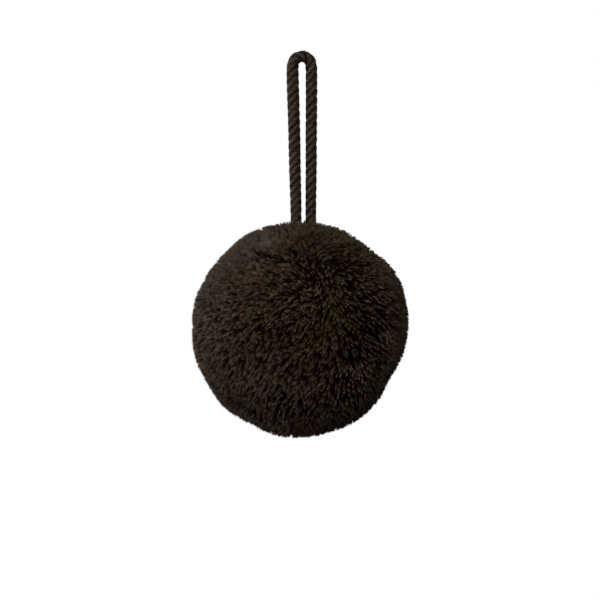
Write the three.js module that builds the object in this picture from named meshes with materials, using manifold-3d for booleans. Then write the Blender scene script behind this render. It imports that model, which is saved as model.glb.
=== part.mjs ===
// Key tassel with a pompom: a ball of cut yarn with a twisted cord folded in two.
// The two ends of the cord run down into the ball, to where its yarns are bound together.
//
// Millimetres, +Z up. The origin is the inside of the loop's crown, where the key bow,
// hook or knob that holds the tassel bears. X runs across the loop, and the front of the
// tassel looks along -Y. The tassel hangs straight down from the origin.
import * as THREE from "three";
import { mergeVertices } from "three/addons/utils/BufferGeometryUtils.js";
import Module from "manifold-3d";

const wasm = await Module();
wasm.setup();

// ---- Driving sizes --------------------------------------------------------------
const CORD_DIAMETER = 4.4; // over the strands
const CROWN_RADIUS = 3.8; // of the cord's centreline, where it turns over
const CORD_SIDES = 12;
const CORD_STEPS = 88;
const BOUND_Z = -85; // where the cord's ends are bound among the yarns

const BALL_X = -0.8; // the ball hangs a little off the crown's own centre
const BALL_Z = -111.4;
const BALL_RADIUS = 44.9; // mean radius of the trimmed pile
const BALL_DETAIL = 12; // 20 * (detail + 1)^2 facets
const WELL_GAP = 0.4; // the yarns stand this far off the cord, all round

// ---- The loop's two legs, from the crown down ------------------------------------
// Centreline of each leg across the loop, at heights below the crown.
const LEGS = [
  { z: -9.3, left: -3.76, right: 3.92 },
  { z: -24.2, left: -3.36, right: 3.9 },
  { z: -36.7, left: -3.06, right: 3.82 },
  { z: -49.1, left: -2.8, right: 3.76 },
  { z: -60.0, left: -2.54, right: 3.7 },
  { z: -66.0, left: -2.45, right: 3.67 },
  { z: -76.0, left: -2.45, right: 3.67 },
  { z: BOUND_Z, left: -2.45, right: 3.67 },
];

// ---- The ball's outline ----------------------------------------------------------
// Radius of the trimmed pile round the outline seen from the front, every 15 degrees,
// from +X towards +Z.
const OUTLINE = [
  { deg: 0, r: 44.7 },
  { deg: 15, r: 45.5 },
  { deg: 30, r: 46.3 },
  { deg: 45, r: 44.7 },
  { deg: 60, r: 44.9 },
  { deg: 75, r: 45.0 },
  { deg: 90, r: 44.6 },
  { deg: 105, r: 45.0 },
  { deg: 120, r: 45.5 },
  { deg: 135, r: 44.6 },
  { deg: 150, r: 44.8 },
  { deg: 165, r: 45.4 },
  { deg: 180, r: 44.7 },
  { deg: 195, r: 45.0 },
  { deg: 210, r: 44.5 },
  { deg: 225, r: 45.1 },
  { deg: 240, r: 43.9 },
  { deg: 255, r: 44.7 },
  { deg: 270, r: 44.7 },
  { deg: 285, r: 44.3 },
  { deg: 300, r: 44.5 },
  { deg: 315, r: 43.9 },
  { deg: 330, r: 42.3 },
  { deg: 345, r: 43.7 },
];

// Soft mounds and hollows of the pile over the front and the back. Azimuth is 0 at the
// front and 90 at +X, elevation is above the ball's equator, spread is each one's
// half-width, and rise is out of the ball.
const MOUNDS = [
  { azimuth: 2, elevation: -14, spread: 11, rise: 1.3 }, // raised tuft, low in the front
  { azimuth: -38, elevation: 30, spread: 16, rise: 0.8 },
  { azimuth: -30, elevation: -28, spread: 15, rise: 0.7 },
  { azimuth: 26, elevation: -38, spread: 13, rise: 0.8 },
  { azimuth: -6, elevation: 20, spread: 12, rise: 0.6 },
  { azimuth: 48, elevation: 22, spread: 13, rise: 0.7 },
  { azimuth: 24, elevation: 36, spread: 9, rise: -1.5 }, // where the pile parts outwards
  { azimuth: -24, elevation: 44, spread: 8, rise: -1.3 },
  { azimuth: 36, elevation: -4, spread: 10, rise: -1.3 },
  { azimuth: 35, elevation: -18, spread: 8, rise: -1.1 },
  { azimuth: -52, elevation: -52, spread: 9, rise: -1.2 },
  { azimuth: -50, elevation: -6, spread: 12, rise: -0.6 },
  { azimuth: 132, elevation: 24, spread: 14, rise: 0.9 },
  { azimuth: 165, elevation: -22, spread: 15, rise: 0.9 },
  { azimuth: -150, elevation: 32, spread: 13, rise: 0.8 },
  { azimuth: -125, elevation: -30, spread: 14, rise: 0.9 },
  { azimuth: 175, elevation: 12, spread: 9, rise: -1.3 },
  { azimuth: -160, elevation: -8, spread: 9, rise: -1.1 },
  { azimuth: 112, elevation: -14, spread: 10, rise: -1.2 },
  { azimuth: -118, elevation: 8, spread: 10, rise: -1.1 },
  { azimuth: 145, elevation: 52, spread: 9, rise: -1.0 },
];

const radians = THREE.MathUtils.degToRad;

// Outline radius at an angle, by a smooth closed curve through the table.
function outlineRadius(degrees) {
  const n = OUTLINE.length;
  const at = (((degrees % 360) + 360) % 360) / (360 / n);
  const i = Math.floor(at);
  const r = (k) => OUTLINE[(i + k + n) % n].r;
  const t = at - i;
  const [a, b, c, d] = [r(-1), r(0), r(1), r(2)];
  return (
    b +
    0.5 * t * (c - a + t * (2 * a - 5 * b + 4 * c - d + t * (3 * (b - c) + d - a)))
  );
}

function mound({ azimuth, elevation }) {
  const a = radians(azimuth);
  const e = radians(elevation);
  return new THREE.Vector3(
    Math.sin(a) * Math.cos(e),
    -Math.cos(a) * Math.cos(e),
    Math.sin(e),
  );
}
const mounds = MOUNDS.map((m) => ({ ...m, centre: mound(m) }));

// How far the pile reaches from the ball's centre in a direction.
function pileRadius(direction) {
  const { x, z } = direction;
  const side = x * x + z * z; // 1 on the outline, 0 at the front and back
  const outline = outlineRadius(THREE.MathUtils.radToDeg(Math.atan2(z, x)));
  const soft = mounds.reduce((sum, m) => {
    const angle = THREE.MathUtils.radToDeg(m.centre.angleTo(direction));
    return sum + m.rise * Math.exp(-0.5 * (angle / m.spread) ** 2);
  }, 0);
  return BALL_RADIUS + side * side * (outline - BALL_RADIUS) + (1 - side * side) * soft;
}

// ---- Solids ----------------------------------------------------------------------
// A geometry with shared corners and only positions, as a manifold-3d solid.
function solidOf(geometry) {
  const plain = geometry.clone();
  plain.deleteAttribute("normal");
  plain.deleteAttribute("uv");
  const closed = mergeVertices(plain, 1e-4);
  return new wasm.Manifold(
    new wasm.Mesh({
      numProp: 3,
      vertProperties: new Float32Array(closed.attributes.position.array),
      triVerts: new Uint32Array(closed.index.array),
    }),
  );
}

function geometryOf(solid) {
  const { numProp, numVert, vertProperties, triVerts } = solid.getMesh();
  const position = new Float32Array(numVert * 3);
  for (let i = 0; i < numVert; i++)
    position.set(vertProperties.subarray(i * numProp, i * numProp + 3), i * 3);
  const geometry = new THREE.BufferGeometry();
  geometry.setAttribute("position", new THREE.BufferAttribute(position, 3));
  geometry.setIndex(new THREE.BufferAttribute(new Uint32Array(triVerts), 1));
  geometry.computeVertexNormals();
  return geometry;
}

// The cord's line: up the left leg, over the crown and down the right leg.
function cordLine() {
  const crown = [];
  const crownZ = CORD_DIAMETER / 2 - CROWN_RADIUS;
  for (let deg = 180; deg >= 0; deg -= 30)
    crown.push(
      new THREE.Vector3(
        CROWN_RADIUS * Math.cos(radians(deg)),
        0,
        crownZ + CROWN_RADIUS * Math.sin(radians(deg)),
      ),
    );
  const left = LEGS.map((row) => new THREE.Vector3(row.left, 0, row.z)).reverse();
  const right = LEGS.map((row) => new THREE.Vector3(row.right, 0, row.z));
  return new THREE.CatmullRomCurve3([...left, ...crown, ...right], false, "centripetal");
}

function roundSection(radius, sides) {
  const corners = Array.from({ length: sides }, (_, i) => {
    const a = (2 * Math.PI * i) / sides;
    return new THREE.Vector2(radius * Math.cos(a), radius * Math.sin(a));
  });
  return new THREE.Shape(corners);
}

function cordGeometry() {
  return new THREE.ExtrudeGeometry(roundSection(CORD_DIAMETER / 2, CORD_SIDES), {
    steps: CORD_STEPS,
    extrudePath: cordLine(),
    bevelEnabled: false,
  });
}

// The ball in its own frame, with a well in the pile round each leg of the cord.
function ballGeometry() {
  const shell = new THREE.IcosahedronGeometry(1, BALL_DETAIL);
  shell.deleteAttribute("normal");
  shell.deleteAttribute("uv");
  const ball = mergeVertices(shell, 1e-5);
  const position = ball.attributes.position;
  const point = new THREE.Vector3();
  for (let i = 0; i < position.count; i++) {
    point.fromBufferAttribute(position, i).normalize();
    point.multiplyScalar(pileRadius(point));
    position.setXYZ(i, point.x, point.y, point.z);
  }
  const bottom = BOUND_Z - WELL_GAP - BALL_Z;
  const top = BALL_RADIUS + 5;
  const bound = LEGS[LEGS.length - 1];
  return geometryOf(
    [bound.left, bound.right].reduce((solid, x) => {
      const radius = CORD_DIAMETER / 2 + WELL_GAP;
      const well = new THREE.CylinderGeometry(radius, radius, top - bottom, 16);
      well.rotateX(Math.PI / 2);
      well.translate(x - BALL_X, 0, (top + bottom) / 2);
      return solid.subtract(solidOf(well));
    }, solidOf(ball)),
  );
}

// ---- The tassel ------------------------------------------------------------------
const yarn = new THREE.MeshStandardMaterial({
  color: new THREE.Color(0.033, 0.0225, 0.016),
  roughness: 0.95,
  metalness: 0,
});
const cord = new THREE.MeshStandardMaterial({
  color: new THREE.Color(0.05, 0.036, 0.028),
  roughness: 0.85,
  metalness: 0,
});

const pompom = new THREE.Mesh(ballGeometry(), yarn);
pompom.name = "pompom";
pompom.position.set(BALL_X, 0, BALL_Z);

const loop = new THREE.Mesh(cordGeometry(), cord);
loop.name = "hanging_loop";

const tassel = new THREE.Group();
tassel.add(pompom, loop);

export default tassel;
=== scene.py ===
"""Key tassel: a pompom of cut wool yarn on a twisted cord folded into a loop.

Metres, +Z up, origin at the inside of the loop's crown, front looks along -Y.
"""

import math

import bpy
import numpy as np
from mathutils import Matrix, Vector, noise
from mathutils.bvhtree import BVHTree
from mathutils.kdtree import KDTree


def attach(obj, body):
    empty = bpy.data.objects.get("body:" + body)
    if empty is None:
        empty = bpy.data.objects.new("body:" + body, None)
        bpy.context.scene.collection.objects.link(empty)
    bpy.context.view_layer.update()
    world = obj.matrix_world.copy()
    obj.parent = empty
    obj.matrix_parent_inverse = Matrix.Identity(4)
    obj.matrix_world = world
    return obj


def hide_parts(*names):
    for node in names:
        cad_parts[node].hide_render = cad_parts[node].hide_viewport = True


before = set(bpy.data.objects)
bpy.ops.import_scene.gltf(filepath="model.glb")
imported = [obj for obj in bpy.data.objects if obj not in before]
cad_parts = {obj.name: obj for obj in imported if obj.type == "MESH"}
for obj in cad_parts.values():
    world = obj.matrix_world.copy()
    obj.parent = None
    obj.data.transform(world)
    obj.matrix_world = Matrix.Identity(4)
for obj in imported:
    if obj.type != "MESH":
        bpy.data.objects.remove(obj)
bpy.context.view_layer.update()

MM = 0.001

# ---- Sizes shared with the CAD model, in mm ---------------------------------------
CORD_DIAMETER = 4.4
CROWN_RADIUS = 3.8
BALL = (-0.8, 0.0, -111.4)
BALL_RADIUS = 44.9
BOUND_Z = -85.0

# Centreline of each leg across the loop, at heights below the crown.
LEGS = [
    {"z": -9.3, "left": -3.76, "right": 3.92},
    {"z": -24.2, "left": -3.36, "right": 3.90},
    {"z": -36.7, "left": -3.06, "right": 3.82},
    {"z": -49.1, "left": -2.80, "right": 3.76},
    {"z": -60.0, "left": -2.54, "right": 3.70},
    {"z": -66.0, "left": -2.45, "right": 3.67},
    {"z": -76.0, "left": -2.45, "right": 3.67},
    {"z": BOUND_Z, "left": -2.45, "right": 3.67},
]
LEG_X = (-2.45, 3.67)  # where the legs go into the ball

# ---- How the cord is laid, in mm ----------------------------------------------------
STRANDS = 4  # round one heart strand
LAY = 13.3  # one turn of a strand, Z twist
YARNS = 8  # round each strand
YARN_LAY = 9.5  # one turn of a yarn about its strand, S twist
CORD_HAIRS = 8000
# The cord is fuller near the crown, where it isn't pulled, than at the ball.
CORD_WIDTHS = [
    {"along": 0.00, "width": 4.45},
    {"along": 0.10, "width": 4.60},
    {"along": 0.25, "width": 5.00},
    {"along": 0.43, "width": 5.20},
    {"along": 0.50, "width": 4.80},
    {"along": 0.57, "width": 4.90},
    {"along": 0.75, "width": 4.75},
    {"along": 0.90, "width": 4.50},
    {"along": 1.00, "width": 4.45},
]

# ---- How the pile lies --------------------------------------------------------------
ENDS = 5800  # yarn ends that are trimmed flush
ENDS_BETWEEN = 7200  # more of them, where they don't cling in separate tufts
LOCKS = 31000  # thin locks of fibre that have come loose from those ends
SHORT_ENDS = 6500  # ends that stop short, down between the others
END_LENGTH = 5.2  # mm of yarn that can be seen into the pile
DIVE = 1.9  # mm, how much they bend down into the ball over that length
CORE_DEPTH = 4.2  # mm below the trimmed ends, where the pile is too dense to see into
PAINTED_DARK_DEPTH = 2.7  # mm below the trimmed ends, where the colour is painted fully dark: painted shade for where no light reaches
TUFT_DIVE = 1.0  # mm more of bend, where the ends cling in tufts
TUFT_PAINTED_DARK_DEPTH = 2.1  # mm, the same painted dark depth but there, where the ends cling in tufts
SECTORS = 3  # the pile is joined into this many pieces
LYING = 48000  # fine wisps of fibre that lie along the ends
STANDING_OFF = 26000  # fine loose fibres that stand straight off the ball

# How thick each kind of end is, from inside the ball to its cut end: radii in mm.
END_SHAPE = [
    {"along": 0.00, "radius": 0.22},
    {"along": 0.50, "radius": 0.31},
    {"along": 0.85, "radius": 0.26},
    {"along": 1.00, "radius": 0.00},
]
LOCK_SHAPE = [
    {"along": 0.00, "radius": 0.12},
    {"along": 0.68, "radius": 0.19},
    {"along": 1.00, "radius": 0.00},
]
SHORT_SHAPE = [
    {"along": 0.00, "radius": 0.28},
    {"along": 0.55, "radius": 0.40},
    {"along": 0.85, "radius": 0.34},
    {"along": 1.00, "radius": 0.00},
]

# Places on the front are given as seen from the front, in ball radii from its middle.
# The yarn ends point away from here, and are combed a little other ways in places.
POLE = (0.30, 0.565)
SLANT = 1.55  # how much they lie over, away from the pole
STANDING = 0.20  # how far round the pole they stand up, in ball radii
COMBED = [
    {"x": -0.63, "z": 0.38, "spread": 0.61, "toward": 15, "amount": 0.56},
    {"x": 0.24, "z": -0.50, "spread": 0.37, "toward": 104, "amount": 0.73},
    {"x": 0.06, "z": 0.40, "spread": 0.13, "toward": 10, "amount": 0.26},
    {"x": 0.34, "z": 0.73, "spread": 0.17, "toward": 4, "amount": 0.48},
    {"x": -0.03, "z": 0.43, "spread": 0.27, "toward": 172, "amount": 0.41},
    {"x": 0.44, "z": 0.45, "spread": 0.13, "toward": -76, "amount": 0.22},
]
# Where they stand up more.
UPRIGHT = [
    {"x": 0.00, "z": 0.02, "spread": 0.24, "amount": 0.22},
]
# Where they lie less evenly.
TOUSLED = [
    {"x": -0.05, "z": 0.12, "spread": 0.24, "amount": 0.14},
    {"x": -0.25, "z": -0.25, "spread": 0.20, "amount": 0.10},
    {"x": 0.27, "z": 0.14, "spread": 0.14, "amount": 0.10},
    {"x": 0.28, "z": -0.16, "spread": 0.14, "amount": 0.12},
    {"x": 0.44, "z": -0.50, "spread": 0.24, "amount": 0.11},
]
# Where the pile parts: a gap, dark from real shadow and from the painted shade on ends deep in it; its
# half-length and half-width in mm, the way it runs in degrees from +X to +Z, and how far down it opens.
GAPS = [
    {"x": -0.04, "z": 0.68, "long": 2.6, "wide": 0.45, "runs": 120, "deep": 2.0},
    {"x": 0.15, "z": 0.60, "long": 3.0, "wide": 0.65, "runs": 90, "deep": 2.4},
    {"x": 0.23, "z": 0.55, "long": 2.2, "wide": 0.95, "runs": 170, "deep": 3.0},
    {"x": 0.28, "z": 0.65, "long": 1.8, "wide": 0.55, "runs": 30, "deep": 2.2},
    {"x": 0.42, "z": 0.55, "long": 2.6, "wide": 0.75, "runs": 158, "deep": 2.6},
    {"x": 0.41, "z": 0.50, "long": 2.2, "wide": 0.75, "runs": 176, "deep": 2.6},
    {"x": 0.54, "z": 0.54, "long": 3.2, "wide": 0.40, "runs": 178, "deep": 2.0},
    {"x": 0.26, "z": 0.41, "long": 2.8, "wide": 0.60, "runs": 128, "deep": 2.4},
    {"x": 0.15, "z": 0.43, "long": 3.2, "wide": 0.50, "runs": 92, "deep": 2.2},
    {"x": -0.08, "z": 0.32, "long": 2.6, "wide": 0.65, "runs": 176, "deep": 2.2},
    {"x": -0.44, "z": 0.29, "long": 3.4, "wide": 0.40, "runs": 0, "deep": 1.8},
    {"x": 0.06, "z": 0.25, "long": 3.0, "wide": 0.45, "runs": 5, "deep": 2.0},
    {"x": 0.31, "z": 0.27, "long": 2.0, "wide": 0.55, "runs": 115, "deep": 2.2},
    {"x": 0.59, "z": 0.14, "long": 2.0, "wide": 0.90, "runs": 120, "deep": 2.6},
    {"x": 0.75, "z": 0.13, "long": 3.0, "wide": 1.00, "runs": 160, "deep": 3.0},
    {"x": 0.46, "z": -0.06, "long": 2.0, "wide": 0.90, "runs": 110, "deep": 2.8},
    {"x": 0.59, "z": -0.01, "long": 2.2, "wide": 0.80, "runs": 120, "deep": 2.6},
    {"x": 0.69, "z": -0.04, "long": 2.8, "wide": 0.90, "runs": 165, "deep": 2.8},
    {"x": 0.38, "z": -0.12, "long": 2.2, "wide": 0.80, "runs": 0, "deep": 2.4},
    {"x": 0.40, "z": -0.28, "long": 1.8, "wide": 0.85, "runs": 140, "deep": 2.8},
    {"x": 0.55, "z": -0.30, "long": 4.0, "wide": 1.05, "runs": 172, "deep": 3.2},
    {"x": 0.14, "z": -0.23, "long": 2.2, "wide": 0.95, "runs": 135, "deep": 2.6},
    {"x": 0.04, "z": -0.44, "long": 3.0, "wide": 0.60, "runs": 128, "deep": 2.6},
    {"x": 0.27, "z": -0.60, "long": 3.4, "wide": 0.60, "runs": 58, "deep": 2.6},
    {"x": 0.13, "z": -0.63, "long": 2.2, "wide": 0.85, "runs": 120, "deep": 2.6},
    {"x": 0.74, "z": -0.35, "long": 2.2, "wide": 0.80, "runs": 125, "deep": 2.6},
    {"x": -0.56, "z": -0.29, "long": 2.6, "wide": 0.60, "runs": 50, "deep": 2.4},
    {"x": -0.40, "z": 0.14, "long": 1.4, "wide": 0.45, "runs": 20, "deep": 2.2},
    {"x": -0.28, "z": -0.02, "long": 1.5, "wide": 0.50, "runs": 60, "deep": 2.2},
    {"x": -0.13, "z": -0.76, "long": 3.4, "wide": 0.60, "runs": 80, "deep": 2.4},
]
# Gaps that no end lies across, so they show as one line.
PARTINGS = [
    {"x": -0.32, "z": 0.695, "long": 6.0, "wide": 0.58, "runs": 144, "deep": 3.2},
    {"x": -0.17, "z": 0.632, "long": 4.0, "wide": 0.45, "runs": 175, "deep": 3.2},
    {"x": -0.09, "z": 0.735, "long": 3.8, "wide": 0.34, "runs": 131, "deep": 2.4},
    {"x": -0.215, "z": 0.582, "long": 1.0, "wide": 0.40, "runs": 160, "deep": 2.4},
    {"x": -0.545, "z": -0.715, "long": 6.5, "wide": 0.50, "runs": 142, "deep": 2.8},
]
# Where the pile is thinner, so the ends stand apart with the dark between them: half-sizes
# in ball radii, and the part of the ends that is missing.
THIN = [
    {"x": 0.33, "z": 0.56, "across": 0.20, "up": 0.12, "missing": 0.15},
    {"x": 0.60, "z": -0.06, "across": 0.16, "up": 0.12, "missing": 0.25},
    {"x": 0.43, "z": -0.29, "across": 0.20, "up": 0.06, "missing": 0.35},
    {"x": 0.20, "z": 0.44, "across": 0.12, "up": 0.14, "missing": 0.10},
    {"x": 0.52, "z": -0.62, "across": 0.22, "up": 0.16, "missing": 0.15},
    {"x": -0.30, "z": -0.02, "across": 0.16, "up": 0.10, "missing": 0.12},
    {"x": 0.05, "z": -0.74, "across": 0.30, "up": 0.12, "missing": 0.15},
]
THIN_ELSEWHERE = 16
# Where the ends cling in separate tufts with the dark showing between them, and the painted shade
# darkens faster with depth: half-sizes in ball radii, and how much.
TUFTED = [
    {"x": 0.36, "z": 0.46, "across": 0.42, "up": 0.30, "amount": 0.92},
    {"x": 0.62, "z": 0.00, "across": 0.34, "up": 0.38, "amount": 1.0},
    {"x": 0.50, "z": -0.48, "across": 0.40, "up": 0.32, "amount": 0.9},
    {"x": 0.10, "z": -0.72, "across": 0.50, "up": 0.22, "amount": 0.7},
    {"x": 0.08, "z": 0.08, "across": 0.34, "up": 0.34, "amount": 0.4},
    {"x": -0.52, "z": -0.28, "across": 0.38, "up": 0.46, "amount": 0.25},
]
TUFTED_ELSEWHERE = 14
# Where the ends are finer and trimmed more evenly: half-sizes in ball radii, and how much.
FINE = [
    {"x": -0.05, "z": 0.00, "across": 0.36, "up": 0.34, "amount": 1.0},
    {"x": -0.60, "z": -0.25, "across": 0.40, "up": 0.55, "amount": 1.0},
    {"x": -0.50, "z": 0.50, "across": 0.52, "up": 0.50, "amount": 1.0},
    {"x": -0.14, "z": -0.66, "across": 0.46, "up": 0.32, "amount": 0.8},
]
FINE_ELSEWHERE = 10
GAPS_ELSEWHERE = 70  # of the same kind, over the sides and the back
# Where a few ends together stand higher and paler, or lower and darker: size and rise in mm.
# Paler is partly the ends' own tone and partly painted light and painted shade.
RAISED = [
    {"x": -0.03, "z": -0.26, "size": 2.4, "rise": 0.9, "paler_and_painted_light": 0.26},
    {"x": 0.14, "z": -0.33, "size": 1.5, "rise": 0.6, "paler_and_painted_light": 0.12},
    {"x": 0.45, "z": -0.38, "size": 2.4, "rise": 0.8, "paler_and_painted_light": 0.28},
    {"x": 0.81, "z": -0.09, "size": 3.2, "rise": 0.5, "paler_and_painted_light": 0.56},
    {"x": -0.30, "z": -0.42, "size": 4.5, "rise": 0.4, "paler_and_painted_light": 0.12},
    {"x": -0.36, "z": -0.55, "size": 11.0, "rise": 0.1, "paler_and_painted_light": 0.14},
    {"x": 0.00, "z": -0.62, "size": 9.0, "rise": 0.1, "paler_and_painted_light": 0.14},
    {"x": -0.31, "z": 0.80, "size": 6.0, "rise": 0.3, "paler_and_painted_light": 0.26},
    {"x": -0.15, "z": 0.59, "size": 2.2, "rise": 0.4, "paler_and_painted_light": 0.18},
    {"x": -0.04, "z": -0.06, "size": 2.0, "rise": 0.3, "paler_and_painted_light": 0.22},
    # The next rows darken the bottom rim with painted shade as well as lowering it.
    {"x": 0.34, "z": -0.92, "size": 8.5, "rise": -0.7, "paler_and_painted_light": -0.45},
    {"x": 0.64, "z": -0.72, "size": 7.0, "rise": -0.5, "paler_and_painted_light": -0.14},
    {"x": -0.38, "z": -0.91, "size": 7.0, "rise": -0.4, "paler_and_painted_light": -0.50},
    # These rows have no rise and only paint the ends paler or darker: painted light and painted shade.
    {"x": -0.77, "z": 0.42, "size": 9.0, "rise": 0.0, "paler_and_painted_light": -0.20},
    {"x": 0.90, "z": 0.16, "size": 6.0, "rise": 0.0, "paler_and_painted_light": -0.12},
    {"x": -0.80, "z": -0.02, "size": 12.0, "rise": 0.0, "paler_and_painted_light": 0.18},
    {"x": 0.55, "z": -0.52, "size": 10.0, "rise": 0.0, "paler_and_painted_light": 0.30},
    {"x": -0.04, "z": 0.04, "size": 12.0, "rise": 0.0, "paler_and_painted_light": -0.08},
    {"x": -0.62, "z": 0.62, "size": 10.0, "rise": 0.0, "paler_and_painted_light": -0.12},
    {"x": 0.84, "z": 0.50, "size": 6.0, "rise": 0.0, "paler_and_painted_light": 0.14},
    {"x": 0.91, "z": -0.36, "size": 7.0, "rise": 0.0, "paler_and_painted_light": 0.16},
    {"x": -0.64, "z": -0.75, "size": 6.0, "rise": 0.0, "paler_and_painted_light": -0.20},
    {"x": 0.00, "z": -0.97, "size": 5.0, "rise": 0.0, "paler_and_painted_light": 0.26},
    # A painted dark line of shade along the lower left parting.
    {"x": -0.62, "z": -0.63, "size": 1.6, "rise": 0.0, "paler_and_painted_light": -0.40},
    {"x": -0.55, "z": -0.70, "size": 1.5, "rise": 0.0, "paler_and_painted_light": -0.45},
    {"x": -0.47, "z": -0.78, "size": 2.0, "rise": 0.0, "paler_and_painted_light": -0.50},
    {"x": -0.59, "z": 0.14, "size": 1.8, "rise": 0.0, "paler_and_painted_light": 0.35},
    {"x": -0.90, "z": -0.33, "size": 2.5, "rise": 0.0, "paler_and_painted_light": 0.30},
    {"x": -0.79, "z": -0.54, "size": 3.0, "rise": 0.0, "paler_and_painted_light": 0.22},
    {"x": 0.80, "z": -0.46, "size": 5.0, "rise": 0.0, "paler_and_painted_light": 0.14},
    {"x": 0.32, "z": 0.54, "size": 11.0, "rise": 0.05, "paler_and_painted_light": 0.10},
]
RAISED_ELSEWHERE = 18
# Where more loose fibres stand off the ball: the part of them that is there.
FUZZY = [
    {"x": -0.62, "z": 0.72, "spread": 0.20, "part": 0.18},
    {"x": -0.54, "z": 0.50, "spread": 0.24, "part": 0.10},
    {"x": -0.34, "z": 0.84, "spread": 0.15, "part": 0.19},
    {"x": -0.92, "z": 0.22, "spread": 0.18, "part": 0.05},
    {"x": 0.86, "z": -0.12, "spread": 0.12, "part": 0.015},
    {"x": 0.80, "z": 0.48, "spread": 0.10, "part": 0.025},
    {"x": 0.36, "z": 0.90, "spread": 0.12, "part": 0.020},
]

rng = np.random.default_rng(20)


# ---- Small helpers --------------------------------------------------------------------
def unit(v):
    return v / np.maximum(np.linalg.norm(v, axis=-1, keepdims=True), 1e-12)


def on_front(row):
    """The direction from the ball's middle to a place given as seen from the front."""
    x, z = row["x"], row["z"]
    return np.array([x, -math.sqrt(max(0.0, 1 - x * x - z * z)), z])


def even_directions(count, jitter):
    """Directions spread evenly over a sphere, each moved at random by jitter times their spacing."""
    i = np.arange(count) + 0.5
    z = 1 - 2 * i / count
    a = i * math.pi * (3 - math.sqrt(5))
    s = np.sqrt(1 - z * z)
    u = np.stack([s * np.cos(a), s * np.sin(a), z], 1)
    spacing = math.sqrt(4 * math.pi / count)
    return unit(u + rng.normal(0, jitter * spacing, (count, 3)))


def soft_noise(points, scale, seed):
    """Smooth noise vectors, about -1 to 1, one for each point."""
    # noise.noise_vector isn't used because it gives other vectors each time Blender starts
    offsets = [Vector((13.7 * seed, 5.1 * seed + 31.3 * k, -7.9 * seed)) for k in range(3)]
    return np.array(
        [[noise.noise(Vector(p) * scale + o) for o in offsets] for p in points.tolist()]
    )


def side_axes(d):
    """Two axes square to each direction."""
    helper = np.where(np.abs(d[:, 2:3]) < 0.9, [[0.0, 0.0, 1.0]], [[1.0, 0.0, 0.0]])
    a = unit(np.cross(helper, d))
    return a, np.cross(d, a)


def mesh_object(name, verts, faces, smooth=True):
    """A mesh from an array of vertices and a list of face arrays, each n by 3 or 4."""
    me = bpy.data.meshes.new(name)
    me.vertices.add(len(verts))
    me.vertices.foreach_set("co", np.asarray(verts, np.float32).ravel())
    loops = np.concatenate([f.ravel() for f in faces]).astype(np.int32)
    sizes = np.concatenate([np.full(len(f), f.shape[1], np.int32) for f in faces])
    starts = np.concatenate([[0], np.cumsum(sizes)[:-1]]).astype(np.int32)
    me.loops.add(len(loops))
    me.loops.foreach_set("vertex_index", loops)
    me.polygons.add(len(sizes))
    me.polygons.foreach_set("loop_start", starts)
    me.polygons.foreach_set("use_smooth", np.full(len(sizes), smooth))
    me.update(calc_edges=True)
    me.validate()
    ob = bpy.data.objects.new(name, me)
    bpy.context.scene.collection.objects.link(ob)
    return ob


def add_value(ob, name, values):
    layer = ob.data.attributes.new(name, "FLOAT", "POINT")
    layer.data.foreach_set("value", np.asarray(values, np.float32))


def add_uv(ob, name, uv_by_vertex):
    me = ob.data
    index = np.empty(len(me.loops), np.int32)
    me.loops.foreach_get("vertex_index", index)
    layer = me.uv_layers.new(name=name)
    layer.uv.foreach_set("vector", uv_by_vertex[index].astype(np.float32).ravel())


# ---- Camera ------------------------------------------------------------------------------
def make_camera():
    data = bpy.data.cameras.new("camera")
    camera = bpy.data.objects.new("camera", data)
    bpy.context.scene.collection.objects.link(camera)
    away = 1.0
    width = 600 * 0.415 * MM  # across the picture, at the tassel
    data.sensor_width = 36.0
    data.lens = 36.0 * away / width
    data.clip_start, data.clip_end = 0.05, 50.0
    camera.location = (-0.83 * MM, -away, -98.94 * MM)
    camera.rotation_euler = (math.pi / 2, 0, 0)
    bpy.context.scene.camera = camera


# ---- The cord's line -----------------------------------------------------------------------
def cord_line(step):
    """Points along the cord's centreline in mm, up the left leg, over the crown and down the right."""
    crown_z = CORD_DIAMETER / 2 - CROWN_RADIUS
    crown = [
        (
            CROWN_RADIUS * math.cos(math.radians(a)),
            0.0,
            crown_z + CROWN_RADIUS * math.sin(math.radians(a)),
        )
        for a in range(180, -1, -30)
    ]
    left = [(row["left"], 0.0, row["z"]) for row in reversed(LEGS)]
    right = [(row["right"], 0.0, row["z"]) for row in LEGS]
    knots = np.array(left + crown + right)
    ends = [2 * knots[0] - knots[1], 2 * knots[-1] - knots[-2]]
    k = np.concatenate([ends[:1], knots, ends[1:]])
    fine = []
    for i in range(1, len(k) - 2):
        p0, p1, p2, p3 = k[i - 1 : i + 3]
        d0, d1, d2 = (
            max(np.linalg.norm(b - a) ** 0.5, 1e-4)
            for a, b in ((p0, p1), (p1, p2), (p2, p3))
        )
        m1 = ((p1 - p0) / d0 - (p2 - p0) / (d0 + d1) + (p2 - p1) / d1) * d1
        m2 = ((p2 - p1) / d1 - (p3 - p1) / (d1 + d2) + (p3 - p2) / d2) * d1
        t = np.linspace(0, 1, 40, endpoint=False)[:, None]
        fine.append(
            (2 * t**3 - 3 * t**2 + 1) * p1
            + (t**3 - 2 * t**2 + t) * m1
            + (3 * t**2 - 2 * t**3) * p2
            + (t**3 - t**2) * m2
        )
    fine = np.concatenate([*fine, k[-2:-1]])
    s = np.concatenate([[0], np.cumsum(np.linalg.norm(np.diff(fine, axis=0), axis=1))])
    n = int(round(s[-1] / step)) + 1
    at = np.linspace(0, s[-1], n)
    return np.stack([np.interp(at, s, fine[:, c]) for c in range(3)], 1), at


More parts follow.
